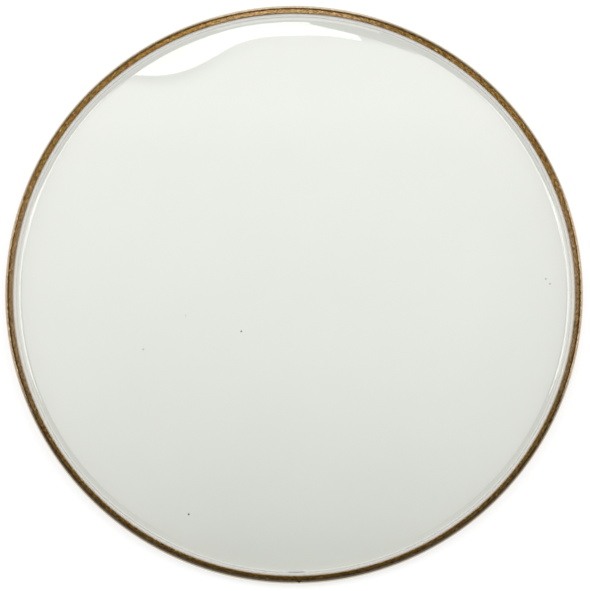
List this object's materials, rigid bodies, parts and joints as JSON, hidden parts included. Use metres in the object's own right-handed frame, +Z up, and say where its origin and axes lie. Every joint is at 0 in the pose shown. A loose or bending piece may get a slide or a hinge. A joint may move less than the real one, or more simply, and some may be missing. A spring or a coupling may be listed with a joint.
{
  "type": "drum head",
  "caption": "Clear plastic drum head: a flat film with a formed collar, its edge locked round a ring inside a rolled, yellow-plated steel hoop that drops over a drum shell.",
  "frame": {"origin": "centre of the hoop's flat underside, on the head's axis", "axes": "+Z up the head's axis, from the hoop to the playing face; -Y towards the joint in the hoop's channel, +X to the right when the joint is nearest the viewer"},
  "size_m": [0.373, 0.373, 0.0165],
  "materials": {
    "film": "clear gloss polyester film with a faint grey-green cast",
    "hoop_channel": "zinc plated, with a yellow passivation that shifts from gold to brown",
    "lock_ring": "drawn flat wire, dark mill finish"
  },
  "bodies": {
    "root": {"film": "film", "hoop_channel": "hoop_channel", "lock_ring": "lock_ring"}
  },
  "joints": []
}
